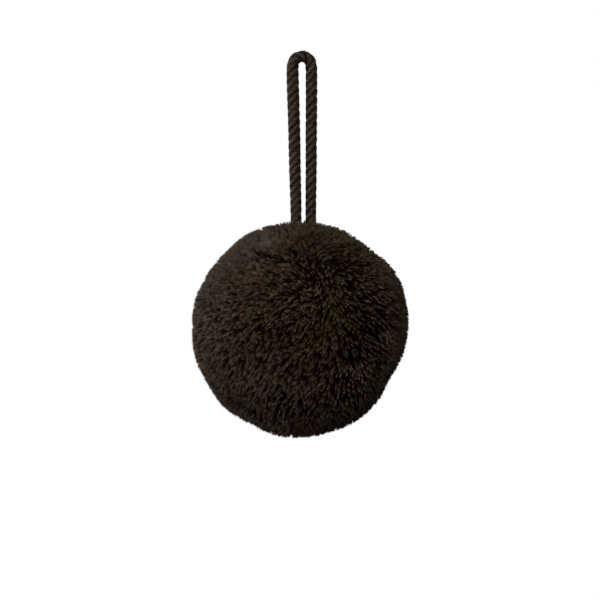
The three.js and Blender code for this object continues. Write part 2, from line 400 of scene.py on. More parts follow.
def cord_hairs(p, line):
    """Short fine hairs that lie loosely along one strand, each one narrow triangle."""
    n, sides = p.shape[:2]
    i = rng.integers(3, n - 3, CORD_HAIRS // STRANDS)
    j = rng.integers(1, sides // 2, CORD_HAIRS // STRANDS)  # on the strand's outer face
    start = p[i, j]
    out = unit(start - line[i])
    along = unit(p[i + 3, j] - p[i - 3, j]) * rng.choice([-1, 1], (len(i), 1))
    way = along + out * rng.uniform(0.05, 0.5, (len(i), 1))
    way = unit(way + rng.normal(0, 0.25, way.shape))
    side = unit(np.cross(way, out)) * rng.uniform(0.02, 0.045, (len(i), 1))
    tip = start + way * rng.uniform(0.6, 1.5, (len(i), 1))
    return np.stack([start - side, start + side, tip], 1)


def make_cord():
    line, at = cord_line(0.45)
    tangent = unit(np.gradient(line, axis=0))
    across = np.array([[0.0, 1.0, 0.0]])  # the loop is flat, so this is square to it
    bend = np.gradient(tangent, at, axis=0) * CROWN_RADIUS  # towards the inside of the crown
    inner = unit(np.cross(across, tangent))
    widths = np.interp(
        at / at[-1],
        [row["along"] for row in CORD_WIDTHS],
        [row["width"] for row in CORD_WIDTHS],
    )
    sides = 26
    hairs = []
    tau = 2 * math.pi * np.arange(sides) / sides
    n = len(line)
    verts, rise, streak = [], [], []
    for m in range(STRANDS):
        # A strand is a rounded wedge, pressed against its neighbours.
        radius = widths / 2
        half_deep = 0.42 * radius  # radially
        middle = radius - half_deep
        # a strand is never quite even, nor is its lay
        wander = 0.06 * np.sin(2 * math.pi * at / 41 + 1.7 * m) + 0.06 * np.sin(
            2 * math.pi * at / 17.3 + 2.9 * m
        )
        swell = 1 + 0.03 * np.sin(2 * math.pi * at / 23.1 + 2.1 * m)
        turn = 2 * math.pi * (at / LAY + m / STRANDS) + wander
        c, s = np.cos(tau), np.sin(tau)
        a = np.sign(c) * np.abs(c) ** 0.90
        b = np.sign(s) * np.abs(s) ** 0.55
        # The yarns make low ridges that run the other way round the strand.
        ridge_at = YARNS * (tau[None] / (2 * math.pi) + (at / YARN_LAY)[:, None]) + 0.37 * m
        ridge = np.abs(np.cos(math.pi * ridge_at)) ** 0.7
        grow = 1 + 0.055 * (ridge - 0.65)
        deep = (half_deep * swell)[:, None] * b[None] * grow
        wide = (math.pi / STRANDS * 0.985) * a[None] * grow
        rho = middle[:, None] + deep
        phi = turn[:, None] + wide
        p = (
            line[:, None]
            + (rho * np.cos(phi))[..., None] * inner[:, None]
            + (rho * np.sin(phi))[..., None] * across[None]
        )
        verts.append(p.reshape(-1, 3))
        hairs.append(cord_hairs(p, line))
        # Painted light and shade: each strand's outer crest is painted paler, a little more on the
        # yarns' ridges, and the grooves between strands darker.
        top = np.clip(1.5 * np.sign(s) * np.abs(s) ** 0.88 - 0.5, 0, 1)[None]
        # There the strands are pressed together, and the colour is painted darker between them: painted
        # shade.
        painted_bend_shade = np.einsum("ijk,ik->ij", unit(p - line[:, None]), bend)
        rise.append((top * (0.75 + 0.25 * ridge) * (1 - 0.55 * np.clip(painted_bend_shade, 0, 1))).ravel())
        streak.append(
            np.stack([ridge_at + 50 * m, np.repeat(at[:, None], sides, 1)], -1).reshape(-1, 2)
        )
    i, j = np.meshgrid(np.arange(n - 1), np.arange(sides), indexing="ij")
    k = (j + 1) % sides
    quads = np.stack(
        [i * sides + j, i * sides + k, (i + 1) * sides + k, (i + 1) * sides + j], -1
    ).reshape(-1, 4)
    # The heart fills the middle, where the strands don't meet, and is painted as dark as the deepest
    # groove: painted shade.
    heart = line[:, None] + 0.30 * widths[:, None, None] * (
        np.cos(tau)[None, :, None] * inner[:, None] + np.sin(tau)[None, :, None] * across[None]
    )
    verts.append(heart.reshape(-1, 3))
    rise.append(np.zeros(n * sides))
    streak.append(
        np.stack(
            [np.tile(8 * tau / (2 * math.pi) - 50, n), np.repeat(at, sides)], -1
        )
    )
    bodies = STRANDS + 1
    quads = np.concatenate([quads + m * n * sides for m in range(bodies)])
    caps = []
    for m in range(bodies):
        for ring, order in ((0, -1), (n - 1, 1)):
            face = (m * n + ring) * sides + np.arange(sides)[::order]
            caps.append(face[None])
    ob = mesh_object("twisted_cord", np.concatenate(verts) * MM, [quads, *caps])
    add_value(ob, "rise", np.concatenate(rise))
    add_uv(ob, "yarn_run", np.concatenate(streak))
    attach(ob, "root")
    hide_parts("hanging_loop")
    path, length = line[::6], at[-1]
    path = np.concatenate([path, line[-1:]]) if (len(line) - 1) % 6 else path
    ob.data.materials.append(cord_material())

    hairs = np.concatenate(hairs)
    ob = mesh_object(
        "cord_hairs", hairs.reshape(-1, 3) * MM, [np.arange(len(hairs) * 3).reshape(-1, 3)]
    )
    add_value(ob, "tone", np.repeat(rng.uniform(0, 1, len(hairs)), 3))
    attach(ob, "root")
    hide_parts("hanging_loop")
    ob.data.materials.append(
        fuzz_material("cord_fuzz", (0.030, 0.019, 0.013), (0.095, 0.072, 0.056))
    )


# ---- The pile --------------------------------------------------------------------------------
def pile_surface():
    """How far the trimmed pile reaches from the ball's centre, in mm, in any direction."""
    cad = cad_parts["pompom"]
    me = cad.data
    tree = BVHTree.FromPolygons(
        [cad.matrix_world @ v.co for v in me.vertices],
        [tuple(p.vertices) for p in me.polygons],
    )
    centre = Vector(BALL) * MM

    def reach(directions):
        found = np.empty(len(directions))
        for i, u in enumerate(directions.tolist()):
            u = Vector(u)
            hit = tree.ray_cast(centre + u * 0.07, -u)[0]
            found[i] = (hit - centre).length / MM if hit else BALL_RADIUS
        # The wells round the cord's legs are filled with pile that hugs the cord.
        return np.where(found < 41.0, 44.6, found)

    return reach


def lay(u):
    """Which way the yarn ends point at each place."""
    place = u[:, [0, 2]]
    out = place - np.array(POLE)
    way = out.copy()
    away = 1 - np.exp(-np.sum(out**2, 1) / (2 * 0.10**2))
    for row in COMBED:
        near = np.sum((place - [row["x"], row["z"]]) ** 2, 1) / (2 * row["spread"] ** 2)
        angle = math.radians(row["toward"])
        push = row["amount"] * np.exp(-near) * away
        way += push[:, None] * [math.cos(angle), math.sin(angle)]
    far = np.linalg.norm(out, axis=1, keepdims=True)
    way = unit(way) * SLANT * far / np.sqrt(far**2 + STANDING**2)
    for row in UPRIGHT:
        near = np.sum((place - [row["x"], row["z"]]) ** 2, 1) / (2 * row["spread"] ** 2)
        front = u[:, 1] < 0
        way *= (1 - row["amount"] * front * np.exp(-near))[:, None]
    return unit(np.stack([way[:, 0], u[:, 1], way[:, 1]], 1))


def elsewhere(count):
    """Random directions that keep off the front."""
    u = unit(rng.normal(0, 1, (count * 4, 3)))
    return u[u[:, 1] > -0.25][:count]


def pile_gaps():
    """Each gap's middle, the two ways along and across it, its half-length, half-width and depth."""
    rows = []
    for row in PARTINGS + GAPS:
        a = math.radians(row["runs"])
        runs = np.array([math.cos(a), 0, math.sin(a)])
        rows.append((on_front(row), runs, row["long"], row["wide"], row["deep"]))
    for c in elsewhere(GAPS_ELSEWHERE):
        long, wide, deep = rng.uniform((1.8, 0.4, 1.8), (3.6, 1.0, 3.0))
        runs = rng.normal(0, 1, 3)
        if c[1] > 0.2:  # none that would notch the outline
            rows.append((c, runs, long, wide, deep))
    made = []
    for c, runs, long, wide, deep in rows:
        along = unit(runs - c * np.dot(runs, c))
        made.append((c, along, np.cross(c, along), long, wide, deep))
    return made


def thin_places():
    """Each thin place's middle, half-sizes across and up, and the part that is missing."""
    rows = [(on_front(r), r["across"], r["up"], r["missing"]) for r in THIN]
    for c in elsewhere(THIN_ELSEWHERE):
        across, up, missing = rng.uniform((0.12, 0.08, 0.25), (0.24, 0.16, 0.50))
        rows.append((c, across, up, missing))
    return rows


def wide_places(table, more):
    """Each wide place's middle, half-sizes across and up, and amount: the front's and more."""
    rows = [(on_front(r), r["across"], r["up"], r["amount"]) for r in table]
    for c in elsewhere(more):
        across, up, amount = rng.uniform((0.20, 0.20, 0.4), (0.45, 0.40, 1.0))
        rows.append((c, across, up, amount))
    return rows


def how_much(places, u):
    amount = np.zeros(len(u))
    for c, across, up, most in places:
        side, rise = side_axes(c[None])
        s, t = (u - c) @ side[0] / across, (u - c) @ rise[0] / up
        near = np.exp(-(s**4) - t**4) * (u @ c > 0)
        amount = np.maximum(amount, most * near)
    return amount


def in_gaps(gaps, u):
    """How much of each direction is in a gap, 0 to 1."""
    amount = np.zeros(len(u))
    for c, along, across, long, wide, _ in gaps:
        near = np.flatnonzero(u @ c > math.cos(2 * long / BALL_RADIUS))
        off = (u[near] - c) * BALL_RADIUS
        s, t = off @ along / long, off @ across / wide
        amount[near] = np.maximum(amount[near], np.exp(-(s**4) - t**2))
    return amount


def lies_across(partings, ends, length):
    """Which yarn ends, seen from the front, would lie over a parting and hide it."""
    across = np.zeros(len(ends["tip"]), bool)
    under = ends["surface"] - 0.8
    for t in (0.0, 0.12, 0.25, 0.4, 0.55, 0.7):
        back = ends["d"] * (length * t) + ends["u"] * (DIVE * t * t)
        off = ends["tip"] - back - np.array(BALL)
        shallow = (off[:, 1] < 0) & (ends["surface"] - np.linalg.norm(off, axis=1) < 1.4)
        # the place on the ball that this point hides
        off[:, 1] = -np.sqrt(np.maximum(under**2 - off[:, 0] ** 2 - off[:, 2] ** 2, 0))
        across |= shallow & (in_gaps(partings, unit(off)) > 0.5)
    return across


def make_ends(reach, gaps, tufts, fine_places):
    """Where each yarn end is cut, which way it points, and its tone, with painted light and shade in
    places.
    """
    even = even_directions(ENDS, 0.0)
    even = even_directions(ENDS, (0.28 - 0.14 * how_much(tufts, even))[:, None])
    between = even_directions(ENDS_BETWEEN, 0.5)
    dense = (0.32 + 0.68 * how_much(fine_places, between)) * (1 - how_much(tufts, between))
    between = between[rng.uniform(0, 1, ENDS_BETWEEN) < dense]
    u = np.concatenate([even, between, even_directions(SHORT_ENDS, 0.40)])
    n = len(u)
    short = np.arange(n) >= ENDS + len(between)
    tufted, fine = how_much(tufts, u), how_much(fine_places, u)

    # Ends cling together in small groups, and those in larger ones. Each row is a size of
    # group: how many on the ball, how far its ends lean together, and how much the groups
    # differ in height and in shade.
    lean = np.zeros((n, 3))
    drop = np.zeros(n)
    tone_and_painted_light = np.zeros(n)
    for count, pull, low, tone in (
        (2200, 0.07, 0.16, 0.07),
        (520, 0.06, 0.18, 0.05),
        (130, 0.03, 0.20, 0.04),
    ):
        heads = even_directions(count, 0.35)
        tree = KDTree(count)
        for i, h in enumerate(heads.tolist()):
            tree.insert(h, i)
        tree.balance()
        nearest = np.array([tree.find(p)[1] for p in u.tolist()])
        strength = pull * rng.uniform(0.2, 1.8, count)[nearest]
        lean += (heads[nearest] - u) * (strength * (1 - 0.5 * fine))[:, None]
        even = (1 - 0.3 * tufted) * (1 - 0.6 * fine)
        drop += rng.normal(0, low, count)[nearest] * even
        tone_and_painted_light += rng.normal(0, tone, count)[nearest] * even

    # At a gap the ends lean away to both sides, and those in it are lost to sight.
    for c, along, across, long, wide, deep in gaps:
        off = (u - c) * BALL_RADIUS
        s, t = off @ along / long, off @ across / wide
        end = np.exp(-(s**4)) * (np.linalg.norm(off, axis=1) < 12)
        # where the ends stand in tufts it's dark between them already
        drop -= deep * end * np.exp(-(t**2)) * (1 - 0.55 * np.maximum(tufted, 0.6 * fine))
        shove = 0.7 * wide * end * np.exp(-((t / 2.2) ** 2))
        lean += across * (np.sign(t) * shove / BALL_RADIUS)[:, None]
    raised = [(on_front(r), r["size"], r["rise"], r["paler_and_painted_light"]) for r in RAISED]
    raised += [
        (c, rng.uniform(1.8, 4.0), rng.uniform(0.3, 0.8), rng.uniform(0.05, 0.25))
        for c in elsewhere(RAISED_ELSEWHERE)
    ]
    for c, size, rise, paler_and_painted_light in raised:
        near = np.exp(-((np.linalg.norm(u - c, axis=1) * BALL_RADIUS / size) ** 2))
        drop += rise * near
        # paler values paint the ends lighter or darker: partly the ends' own tone, partly painted light
        # and painted shade
        tone_and_painted_light += paler_and_painted_light * near
        lean += (c - u) * (0.18 * near * (rise > 0))[:, None]
    u = unit(u + lean)
    drop -= np.where(short, 0.8 * tufted, 1.8 * (rng.uniform(0, 1, n) < 0.06 * tufted))

    # Where the pile is thin some of the ends are down out of sight.
    for c, across, up, missing in thin_places():
        side, rise = side_axes(c[None])
        s, t = (u - c) @ side[0] / across, (u - c) @ rise[0] / up
        near = np.exp(-(s**4) - t**4) * (u @ c > 0)
        drop -= 2.0 * (rng.uniform(0, 1, n) < missing * near)

    surface = reach(u)
    height = np.where(
        short, -rng.uniform(0.4, 2.0, n), 0.46 - np.abs(rng.normal(0, 0.24, n))
    )
    height = np.clip(height + drop, -3.6, 0.75 - 0.20 * fine - 0.14 * tufted)
    tip = np.array(BALL) + u * (surface + height)[:, None]

    # Round the cord the pile is held up a little.
    top = tip[:, 2] > -75
    near = np.full(n, 1e9)
    for x in LEG_X:
        near = np.minimum(near, np.hypot(tip[:, 0] - x, tip[:, 1]))
    tip[:, 2] += top * 0.8 * np.exp(-(((near - 2.2) / 2.2) ** 2))

    d = lay(u)
    back = np.clip(0.5 + u[:, 1:2], 0, 1)
    d += (0.05 + 0.30 * back) * soft_noise(u, 2.6, 1)
    d += (0.15 - 0.07 * fine)[:, None] * soft_noise(u, 9.0, 2)
    uneven = 0.12 - 0.05 * tufted - 0.04 * fine
    for row in TOUSLED:
        off = np.linalg.norm(u - on_front(row), axis=1) / row["spread"]
        uneven += row["amount"] * np.exp(-(off**2))
    follow = (3.0 - 1.6 * np.maximum(tufted, fine))[:, None]
    d = unit(unit(d) + lean * follow + rng.normal(0, 1, (n, 3)) * uneven[:, None])
    tone_and_painted_light += 0.10 * soft_noise(u, 4.0, 3)[:, 0]
    tone = np.clip(0.5 + tone_and_painted_light + rng.normal(0, 0.11, n), 0.02, 0.98)
    keep = ~(top & (near < 2.4))
    ends = {"u": u, "tip": tip, "d": d, "tone": tone, "surface": surface}
    ends |= {"tufted": tufted, "fine": fine, "short": short}
    ends["seen"] = ~short & (height > -1.1)
    keep &= (short & (height < -1.3)) | ~lies_across(gaps[: len(PARTINGS)], ends, END_LENGTH)
    return {k: v[keep] for k, v in ends.items()}


def loose_locks(ends, gaps, count):
    """Thin locks that lie along the trimmed ends, a little to one side and a little shorter."""
    outer = np.flatnonzero(ends["seen"])
    weight = 1 - 0.5 * ends["tufted"][outer] + 0.6 * ends["fine"][outer]
    pick = rng.choice(outer, count, p=weight / weight.sum())
    locks = {k: v[pick] for k, v in ends.items()}
    a, b = side_axes(locks["d"])
    aside = rng.normal(0, 0.42, (count, 2)) * (1 - 0.5 * locks["tufted"][:, None])
    back = np.abs(rng.normal(0, 0.5, (count, 1)))
    locks["tip"] = (
        locks["tip"] + a * aside[:, :1] + b * aside[:, 1:] - locks["d"] * back
    )
    locks["tip"] += locks["u"] * rng.uniform(0.0, 0.45, (count, 1))
    off = locks["tip"] - np.array(BALL)
    far = np.linalg.norm(off, axis=1, keepdims=True)
    most = locks["surface"][:, None] + rng.uniform(0.05, 0.46, (count, 1))
    locks["tip"] = np.array(BALL) + off * np.minimum(1.0, most / far)
    loose = (0.14 - 0.06 * locks["fine"])[:, None]
    locks["d"] = unit(locks["d"] + rng.normal(0, 1, (count, 3)) * loose)
    locks["tone"] = np.clip(locks["tone"] + rng.normal(0.02, 0.22, count), 0.02, 0.98)
    keep = ~lies_across(gaps[: len(PARTINGS)], locks, 0.72 * END_LENGTH)
    return {k: v[keep] for k, v in locks.items()}


def yarn_bodies(ends, shape, length, sides, gaps):
    """Yarn ends as bodies that bend over a little and close at their cut end."""
    n = len(ends["tip"])
    a, b = side_axes(ends["d"])
    length = length * rng.uniform(0.85, 1.12, n)
    size = rng.uniform(0.7, 1.3, n) * (1 + 0.50 * ends["tufted"]) * (1 - 0.22 * ends["fine"])
    dive = DIVE + TUFT_DIVE * ends["tufted"]
    dark = PAINTED_DARK_DEPTH + (TUFT_PAINTED_DARK_DEPTH - PAINTED_DARK_DEPTH) * ends["tufted"]
    start = rng.uniform(0, 2 * math.pi, n)
    bend_way = rng.uniform(0, 2 * math.pi, n)
    bend = rng.uniform(0.05, 0.40, n) * (1 - 0.4 * ends["fine"])
    hook = rng.normal(0, 0.16, (n, 2)) * (1 - 0.5 * ends["fine"][:, None])
    verts, painted_inner_shade = [], []
    for row in shape:
        t = row["along"]
        arch = 4 * t * (1 - t) * bend
        curl = (max(0.0, t - 0.5) / 0.5) ** 2
        off_a = arch * np.cos(bend_way) + hook[:, 0] * curl
        off_b = arch * np.sin(bend_way) + hook[:, 1] * curl
        middle = (
            ends["tip"]
            - ends["d"] * (length * (1 - t))[:, None]
            - ends["u"] * (dive * (1 - t) ** 2)[:, None]
            + a * off_a[:, None]
            + b * off_b[:, None]
        )
        for k in range(sides if row["radius"] else 1):
            angle = start + 2 * math.pi * k / sides
            out = a * np.cos(angle)[:, None] + b * np.sin(angle)[:, None]
            verts.append(middle + out * (row["radius"] * size)[:, None])
            # the side of a body that is turned in to the ball is painted darker, painted shade for the
            # little light it gets
            faces_out = np.sum(out * ends["u"], 1) if row["radius"] else 0.8
            painted_inner_shade.append(np.clip(0.45 - 0.5 * faces_out, 0, 1) * np.ones(n))
    verts = np.stack(verts, 1)

    # Nothing stands inside the cord.
    for x in LEG_X:
        off = verts[..., :2] - np.array([x, 0.0])
        far = np.linalg.norm(off, axis=-1)
        push = (far < 2.4) & (verts[..., 2] > BOUND_Z)
        scale = np.where(push, (2.4 + 0.2 * far / 2.4) / np.maximum(far, 1e-6), 1.0)
        verts[..., :2] = np.array([x, 0.0]) + off * scale[..., None]

    # Painted shade: the colour is darkened with depth below the trimmed ends, kept as a per-vertex
    # value from 1 (full) down to 0 (painted black).
    depth = ends["surface"][:, None] - np.linalg.norm(verts - np.array(BALL), axis=-1)
    painted_light = 1 - (depth + 0.2) / dark[:, None] - 0.5 * np.stack(painted_inner_shade, 1)
    # Painted shade: deeper in a gap the colour is darkened further.
    painted_gap_shade = in_gaps(gaps, unit(verts - np.array(BALL)).reshape(-1, 3)).reshape(painted_light.shape)
    painted_light = np.clip(painted_light * (1 - 0.9 * painted_gap_shade * np.clip((depth - 0.2) / 0.9, 0, 1)), 0, 1)
    k = np.arange(sides)
    nxt = (k + 1) % sides
    rings = len(shape) - 1
    quad = np.concatenate(
        [
            np.stack([r * sides + k, r * sides + nxt, (r + 1) * sides + nxt, (r + 1) * sides + k], 1)
            for r in range(rings - 1)
        ]
    )
    last = sides * (rings - 1)
    tri = np.stack([last + k, last + nxt, np.full(sides, sides * rings)], 1)
    side = np.concatenate([np.tile(np.cos(2 * math.pi * k / sides), rings), [0.0]])
    return verts, painted_light, side, quad, tri


def pile_piece(name, parts, material):
    """One piece from several sets of bodies, each with its own shape."""
    verts, quads, tris, painted_lights, tones, cells = [], [], [], [], [], []
    count = 0
    for body, tone in parts:
        v, painted_light, side, quad, tri = body
        base = count + v.shape[1] * np.arange(len(v))[:, None, None]
        if len(quad):
            quads.append((base + quad).reshape(-1, 4))
        tris.append((base + tri).reshape(-1, 3))
        count += v.shape[0] * v.shape[1]
        tone = np.repeat(tone[:, None], v.shape[1], 1)
        verts.append(v.reshape(-1, 3))
        painted_lights.append(painted_light.ravel())
        tones.append(tone.ravel())
        # The map's two ways are the tone and the painted shade by depth, which the colour is made from.
        cells.append(
            np.stack([0.02 + 0.96 * tone + side * 0.004, 0.02 + 0.96 * painted_light], -1).reshape(-1, 2)
        )
    ob = mesh_object(name, np.concatenate(verts) * MM, [*quads, *tris])
    add_value(ob, "painted_light", np.concatenate(painted_lights))
    add_value(ob, "tone", np.concatenate(tones))
    add_uv(ob, "OFBake", np.concatenate(cells))
    ob.data.materials.append(material)
    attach(ob, "root")
    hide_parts("pompom")
    return ob


def make_pile(ends, gaps, material, deep_material):
    trimmed = {k: v[~ends["short"]] for k, v in ends.items()}
    short = {k: v[ends["short"]] for k, v in ends.items()}
    body = yarn_bodies(short, SHORT_SHAPE, END_LENGTH, 4, gaps)
    pile_piece("pile_deep", [(body, short["tone"])], deep_material)
    kinds = (
        (trimmed, END_SHAPE, END_LENGTH, 4),
        (loose_locks(ends, gaps, LOCKS), LOCK_SHAPE, 0.72 * END_LENGTH, 3),
    )
    for s in range(SECTORS):
        parts = []
        for kind, shape, length, sides in kinds:
            sector = np.arctan2(kind["u"][:, 1], kind["u"][:, 0]) / (2 * math.pi) * SECTORS
            mine = np.floor(sector).astype(int) % SECTORS == s
            chosen = {k: v[mine] for k, v in kind.items()}
            body = yarn_bodies(chosen, shape, length, sides, gaps)
            parts.append((body, chosen["tone"]))
        pile_piece(f"pile_{s + 1}", parts, material)


def make_core(reach, material):
    """The dense inside of the ball, coloured near black as painted shade, which shows only between the
    yarn ends.
    """
    rows, cols = 70, 110
    e = np.linspace(-90, 90, rows + 1)[1:-1]
    z = np.sin(np.radians(e))
    az = 2 * math.pi * np.arange(cols) / cols
    s = np.sqrt(1 - z * z)
    u = np.stack(
        [
            s[:, None] * np.cos(az),
            s[:, None] * np.sin(az),
            np.repeat(z[:, None], cols, 1),
        ],
        -1,
    ).reshape(-1, 3)
    u = np.concatenate([[[0, 0, -1.0]], u, [[0, 0, 1.0]]])
    r = reach(u) - CORE_DEPTH + 0.35 * soft_noise(u, 18.0, 5)[:, 0]
    verts = np.array(BALL) + u * r[:, None]
    i, j = np.meshgrid(np.arange(rows - 2), np.arange(cols), indexing="ij")
    k = (j + 1) % cols
    quads = (
        1
        + np.stack(
            [i * cols + j, i * cols + k, (i + 1) * cols + k, (i + 1) * cols + j], -1
        ).reshape(-1, 4)
    )
    j = np.arange(cols)
    k = (j + 1) % cols
    low = np.stack([np.zeros(cols, int), 1 + k, 1 + j], 1)
    last = 1 + (rows - 2) * cols
    high = np.stack([np.full(cols, len(u) - 1), last + j, last + k], 1)
    ob = mesh_object("pile_core", verts * MM, [quads, low, high])
    ob.data.materials.append(material)
    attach(ob, "root")
    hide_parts("pompom")
    return ob


def fibres(ends, pick, start, way, length, width, over):
    """Fine flat fibres that taper to a point, trimmed where the ends are."""
    count = len(pick)
    bend = rng.normal(0, 0.30, (count, 3))
    side = unit(np.cross(way, unit(rng.normal(0, 1, (count, 3)))))
    verts = []
    for t, w in ((0.0, 1.0), (0.55, 0.85)):
        middle = start + way * length * t + bend * t * t
        verts += [middle - side * width * w, middle + side * width * w]
    verts = np.stack([*verts, start + way * length + bend], 1)
    off = verts - np.array(BALL)
    far = np.linalg.norm(off, axis=-1, keepdims=True)
    most = (ends["surface"][pick] + over)[:, None, None]
    verts = np.array(BALL) + off * np.minimum(1.0, most / far)
    # Painted shade: the fibres are darkened with depth below the trimmed ends.
    depth = ends["surface"][pick][:, None] - np.linalg.norm(verts - np.array(BALL), axis=-1)
    dark = PAINTED_DARK_DEPTH + (TUFT_PAINTED_DARK_DEPTH - PAINTED_DARK_DEPTH) * ends["tufted"][pick]
    painted_light = np.clip(1 - (depth + 0.2) / dark[:, None], 0, 1)
    side = np.array([-1.0, 1.0, -1.0, 1.0, 0.0])
    return verts, painted_light, side, np.array([[0, 1, 3, 2]]), np.array([[2, 3, 4]])


def clear(partings, ends, pick, start, way, length):
    """Which fibres don't lie over a parting."""
    placed = {"tip": start + way * length, "d": way}
    placed |= {"u": ends["u"][pick], "surface": ends["surface"][pick]}
    return ~lies_across(partings, placed, 3.0)


def make_fibres(ends, gaps, lying_material, standing_material):
    """Wisps that lie along the yarn ends, and loose fibres that stand off the ball."""
    outer = np.flatnonzero(ends["seen"] & (in_gaps(gaps, ends["u"]) < 0.25))
    weight = (1 - 0.5 * ends["tufted"][outer]) * (1 - 0.4 * ends["fine"][outer])
    partings = gaps[: len(PARTINGS)]
    for piece in range(2):
        count = LYING // 2
        pick = rng.choice(outer, count, p=weight / weight.sum())
        u, d, tip = ends["u"][pick], ends["d"][pick], ends["tip"][pick]
        a, b = side_axes(d)
        aside = rng.normal(0, 0.75, (count, 2)) * (1 - 0.55 * ends["tufted"][pick, None])
        length = rng.uniform(1.8, 3.6, (count, 1))
        end = tip + a * aside[:, :1] + b * aside[:, 1:] - d * np.abs(rng.normal(0, 1.0, (count, 1)))
        way = unit(d + u * rng.uniform(0.0, 0.35, (count, 1)) + rng.normal(0, 0.15, (count, 3)))
        start = end - way * length + u * rng.uniform(0.0, 0.4, (count, 1))
        width = rng.uniform(0.045, 0.11, (count, 1))
        over = rng.uniform(0.05, 0.44, count)
        tone = np.clip(ends["tone"][pick] + rng.normal(0.03, 0.14, count), 0.02, 0.98)
        keep = clear(partings, ends, pick, start, way, length)
        chosen = [v[keep] for v in (pick, start, way, length, width, over)]
        body, tone = fibres(ends, *chosen), tone[keep]
        pile_piece(f"pile_wisps_{piece + 1}", [(body, tone)], lying_material)

    count = STANDING_OFF
    weight /= weight.sum() / (1 - sum(row["part"] for row in FUZZY))
    for row in FUZZY:
        off = np.linalg.norm(ends["u"][outer] - on_front(row), axis=1)
        near = np.exp(-0.5 * (off / row["spread"]) ** 2)
        weight += row["part"] * near / near.sum()
    pick = rng.choice(outer, count, p=weight / weight.sum())
    u, d, tip = ends["u"][pick], ends["d"][pick], ends["tip"][pick]
    start = tip - d * rng.uniform(0.4, 2.0, (count, 1)) + rng.normal(0, 0.5, (count, 3))
    way = unit(u * 0.8 + d * 0.7 + rng.normal(0, 0.20, (count, 3)))
    length = rng.uniform(0.9, 2.4, (count, 1))
    width = rng.uniform(0.018, 0.032, (count, 1))
    over = rng.uniform(0.20, 0.50, count)
    tone = np.clip(ends["tone"][pick] + rng.normal(-0.07, 0.28, count), 0.02, 0.98)
    keep = clear(partings, ends, pick, start, way, length)
    chosen = [v[keep] for v in (pick, start, way, length, width, over)]
    body, tone = fibres(ends, *chosen), tone[keep]
    pile_piece("pile_fuzz", [(body, tone)], standing_material)


# ---- Materials ----------------------------------------------------------------------------------
def new_material(name):
    m = bpy.data.materials.new(name)
    m.use_nodes = True
    nt = m.node_tree
    return m, nt, nt.nodes["Principled BSDF"]


def ramp(nt, stops, value):
    node = nt.nodes.new("ShaderNodeValToRGB")
    els = node.color_ramp.elements
    while len(els) < len(stops):
        els.new(0.5)
    for el, (pos, colour) in zip(els, stops, strict=True):
        el.position = pos
        el.color = (*colour, 1)
    nt.links.new(value, node.inputs["Fac"])
    return node.outputs["Color"]


def attribute(nt, name):
    node = nt.nodes.new("ShaderNodeAttribute")
    node.attribute_name = name
    return node.outputs["Fac"]


def multiply(nt, a, b):
    node = nt.nodes.new("ShaderNodeMix")
    node.data_type, node.blend_type = "RGBA", "MULTIPLY"
    node.inputs["Factor"].default_value = 1.0
    nt.links.new(a, node.inputs["A"])
    nt.links.new(b, node.inputs["B"])
    return node.outputs["Result"]


def yarn_material(name, shine):
    m, nt, p = new_material(name)
    # Each end's own tone, which also carries the painted light and shade of the RAISED rows.
    tone = ramp(
        nt,
        [
            (0.0, (0.0400, 0.0212, 0.0080)),
            (0.5, (0.0690, 0.0400, 0.0155)),
            (0.75, (0.0990, 0.0690, 0.0410)),
            (1.0, (0.1420, 0.1140, 0.0840)),
        ],
        attribute(nt, "tone"),
    )
    # Painted shade: this ramp darkens the colour where the painted light value is low, deep below the
    # trimmed ends, on sides turned in to the ball and in gaps.
    depth = ramp(
        nt,
        [
            (0.0, (0.050, 0.012, 0.018)),
            (0.35, (0.32, 0.175, 0.165)),
            (0.70, (0.76, 0.68, 0.63)),
            (0.93, (1.0, 1.0, 1.0)),
        ],
        attribute(nt, "painted_light"),
    )
    nt.links.new(multiply(nt, tone, depth), p.inputs["Base Color"])
    p.inputs["Roughness"].default_value = 0.38
    p.inputs["Specular IOR Level"].default_value = shine
    p.inputs["Specular Tint"].default_value = (1.0, 0.96, 0.88, 1)
    return m


def fuzz_material(name, low, high):
    m, nt, p = new_material(name)
    colour = ramp(nt, [(0.0, low), (1.0, high)], attribute(nt, "tone"))
    nt.links.new(colour, p.inputs["Base Color"])
    p.inputs["Roughness"].default_value = 0.7
    p.inputs["Specular IOR Level"].default_value = 0.12
    return m


def core_painted_shade_material():
    m, nt, p = new_material("wool_core_painted_shade")
    tex = nt.nodes.new("ShaderNodeTexNoise")
    tex.inputs["Scale"].default_value = 900.0
    tex.inputs["Detail"].default_value = 3.0
    coord = nt.nodes.new("ShaderNodeTexCoord")
    nt.links.new(coord.outputs["Object"], tex.inputs["Vector"])
    # Painted shade: the inside is coloured near black, far darker than the yarn, for the shade deep in
    # the pile.
    colour = ramp(
        nt,
        [(0.3, (0.0020, 0.0012, 0.0008)), (0.7, (0.0070, 0.0044, 0.0028))],
        tex.outputs["Fac"],
    )
    nt.links.new(colour, p.inputs["Base Color"])
    p.inputs["Roughness"].default_value = 0.9
    p.inputs["Specular IOR Level"].default_value = 0.1
    return m


